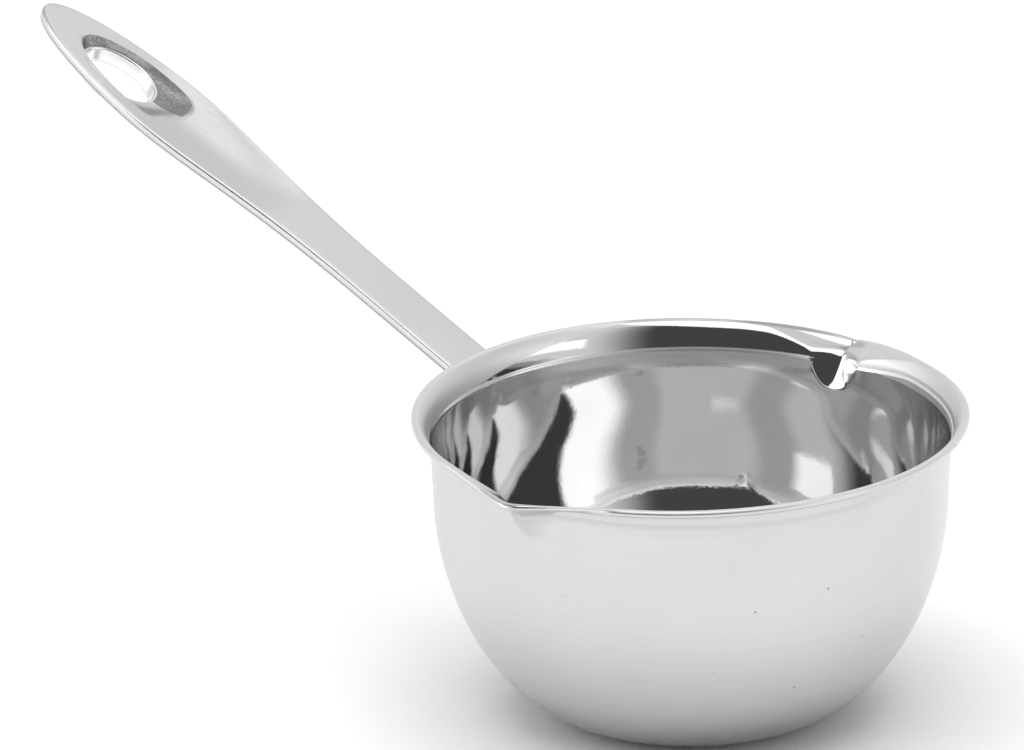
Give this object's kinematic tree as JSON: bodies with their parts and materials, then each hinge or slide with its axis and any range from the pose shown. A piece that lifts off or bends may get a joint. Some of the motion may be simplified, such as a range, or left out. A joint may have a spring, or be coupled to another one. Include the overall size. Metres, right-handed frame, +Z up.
{
  "type": "candle melting pot",
  "caption": "Small round steel pot with a rolled, flared rim, two opposite pour spouts and an upswept stamped handle with a hanging hole.",
  "frame": {"origin": "centre of the flat base, on the surface the pot stands on", "axes": "+Z up along the bowl's axis; the handle points along -X; the two pour spouts are near +Y and -Y"},
  "size_m": [0.1835, 0.0973, 0.0901],
  "materials": {
    "bowl_steel": "stainless steel, satin outside with faint scratches, mirror polished inside",
    "handle_steel": "smooth satin stainless steel sheet",
    "weld_steel": "dull ground weld"
  },
  "bodies": {
    "root": {"bowl": "bowl_steel", "handle": "handle_steel", "upper_weld": "weld_steel", "lower_weld": "weld_steel"}
  },
  "joints": []
}
